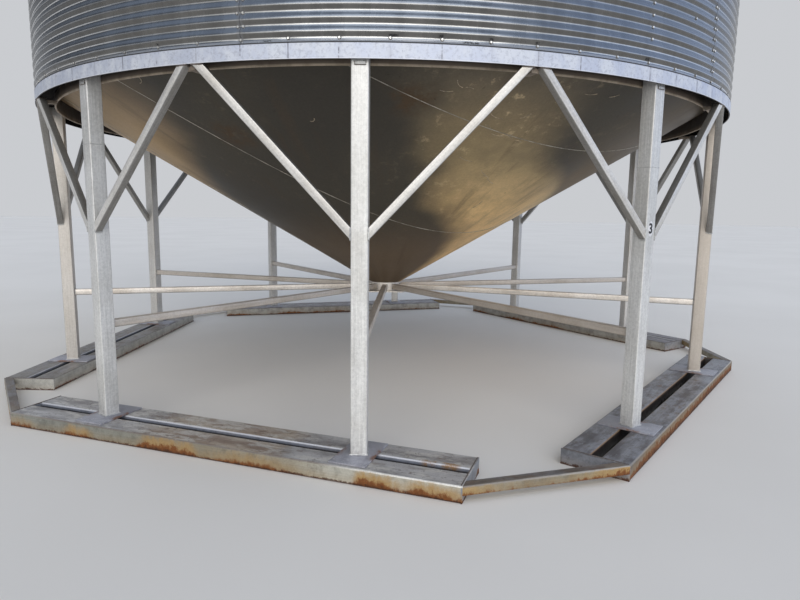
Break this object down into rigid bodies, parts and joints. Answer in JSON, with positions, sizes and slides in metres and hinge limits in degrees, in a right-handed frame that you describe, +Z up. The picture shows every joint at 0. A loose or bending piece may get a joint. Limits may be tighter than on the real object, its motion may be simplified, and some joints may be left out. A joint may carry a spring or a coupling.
{
  "type": "hopper bottom grain silo",
  "caption": "Round corrugated steel grain silo with a conical hopper, held by a ring beam on braced square legs over a ring of twin-tube skids.",
  "frame": {"origin": "centre of the footprint's bounding box, on the ground; the silo's own vertical axis stands at x = -0.1235 m, y = 0", "axes": "+Z up; +X towards the corner tie between skids 2 and 3; -Y towards leg 2, the middle leg in the picture"},
  "size_m": [6.197, 6.4254, 8.47],
  "materials": {
    "silver_paint": "satin silver paint with faint streaks and light dirt",
    "skid_paint": "dull silver paint, dirty on top, with orange-brown rust along the lower edges",
    "hopper_paint": "satin grey-brown weathered steel with stains and thin seam lines",
    "galvanised_sheet": "semi-gloss galvanised corrugated sheet with bolts",
    "roof_sheet": "semi-gloss galvanised ribbed sheet"
  },
  "bodies": {
    "root": {"skid_1": "skid_paint", "skid_2": "skid_paint", "skid_3": "skid_paint", "skid_4": "skid_paint", "skid_5": "skid_paint", "corner_tie_1": "skid_paint", "corner_tie_2": "skid_paint", "corner_tie_3": "skid_paint", "corner_tie_4": "skid_paint", "corner_tie_5": "skid_paint", "leg_1": "silver_paint", "leg_2": "silver_paint", "leg_3": "silver_paint", "leg_4": "silver_paint", "leg_5": "silver_paint", "leg_6": "silver_paint", "leg_7": "silver_paint", "leg_8": "silver_paint", "leg_9": "silver_paint", "leg_10": "silver_paint", "brace_pair_1": "silver_paint", "brace_pair_2": "silver_paint", "brace_pair_3": "silver_paint", "brace_pair_4": "silver_paint", "brace_pair_5": "silver_paint", "brace_pair_6": "silver_paint", "brace_pair_7": "silver_paint", "brace_pair_8": "silver_paint", "brace_pair_9": "silver_paint", "brace_pair_10": "silver_paint", "outlet_hub": "silver_paint", "outlet_flange": "silver_paint", "ring_beam": "silver_paint", "hopper_skirt": "hopper_paint", "hopper_cone": "hopper_paint", "wall_tier_1": "galvanised_sheet", "wall_tier_2": "galvanised_sheet", "wall_tier_3": "galvanised_sheet", "wall_tier_4": "galvanised_sheet", "wall_tier_5": "galvanised_sheet", "wall_tier_6": "galvanised_sheet", "roof_deck": "roof_sheet", "roof_peak_collar": "roof_sheet", "roof_cap": "roof_sheet"}
  },
  "joints": []
}
